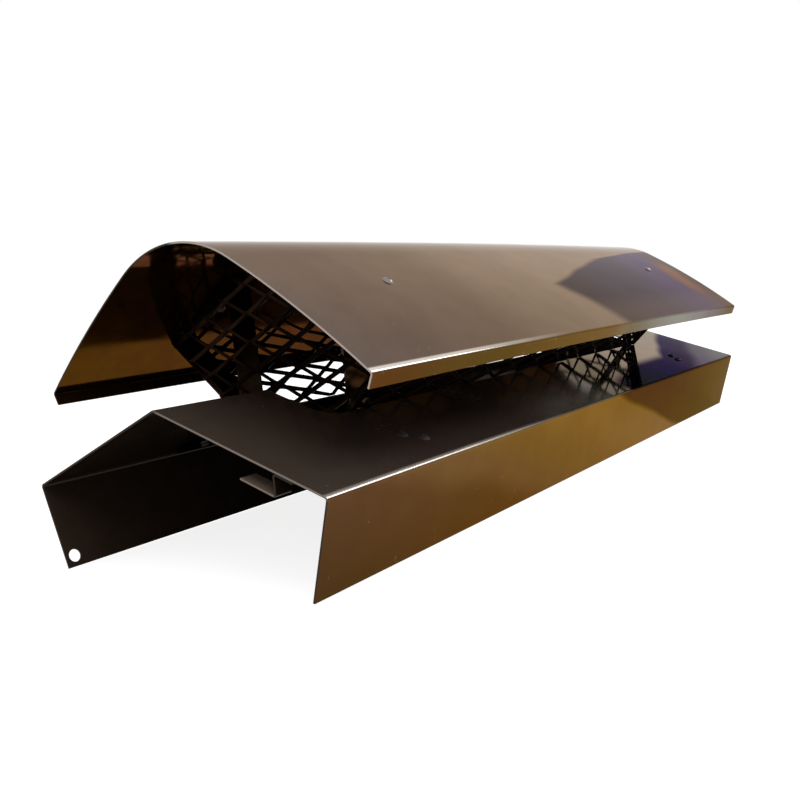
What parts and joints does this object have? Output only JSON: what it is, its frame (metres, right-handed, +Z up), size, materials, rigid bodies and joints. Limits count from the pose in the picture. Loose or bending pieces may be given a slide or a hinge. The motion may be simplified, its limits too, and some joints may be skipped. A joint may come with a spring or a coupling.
{
  "type": "gas flue ridge terminal",
  "caption": "Folded ridge saddle with a mesh cage over its flue opening and a rolled hood on riveted straps, lets flue gas out along a roof ridge.",
  "frame": {"origin": "centre of the bottom of the overall box, below the ridge line at mid length, level with the lower edges of the side flanges", "axes": "+X along the ridge towards the end without the clip, +Y across the ridge towards the left flange, +Z up"},
  "size_m": [0.6, 0.2294, 0.1638],
  "materials": {
    "saddle_paint": "gloss",
    "hood_paint": "gloss",
    "collar_paint": "gloss",
    "mesh_paint": "satin",
    "strap_paint": "gloss",
    "rivet_paint": "gloss",
    "clip_paint": "gloss"
  },
  "bodies": {
    "root": {"ridge_saddle": "saddle_paint", "hood": "hood_paint", "flue_collar": "collar_paint", "cage_side_left": "mesh_paint", "cage_side_right": "mesh_paint", "cage_end_near": "mesh_paint", "cage_end_far": "mesh_paint", "strap_near_left": "strap_paint", "strap_near_right": "strap_paint", "strap_far_left": "strap_paint", "strap_far_right": "strap_paint", "hood_rivet_near_left": "rivet_paint", "hood_rivet_near_right": "rivet_paint", "hood_rivet_far_left": "rivet_paint", "hood_rivet_far_right": "rivet_paint", "foot_rivet_near_left_inner": "rivet_paint", "foot_rivet_near_left_outer": "rivet_paint", "foot_rivet_near_right_inner": "rivet_paint", "foot_rivet_near_right_outer": "rivet_paint", "foot_rivet_far_left_inner": "rivet_paint", "foot_rivet_far_left_outer": "rivet_paint", "foot_rivet_far_right_inner": "rivet_paint", "foot_rivet_far_right_outer": "rivet_paint", "tile_clip": "clip_paint"}
  },
  "joints": []
}
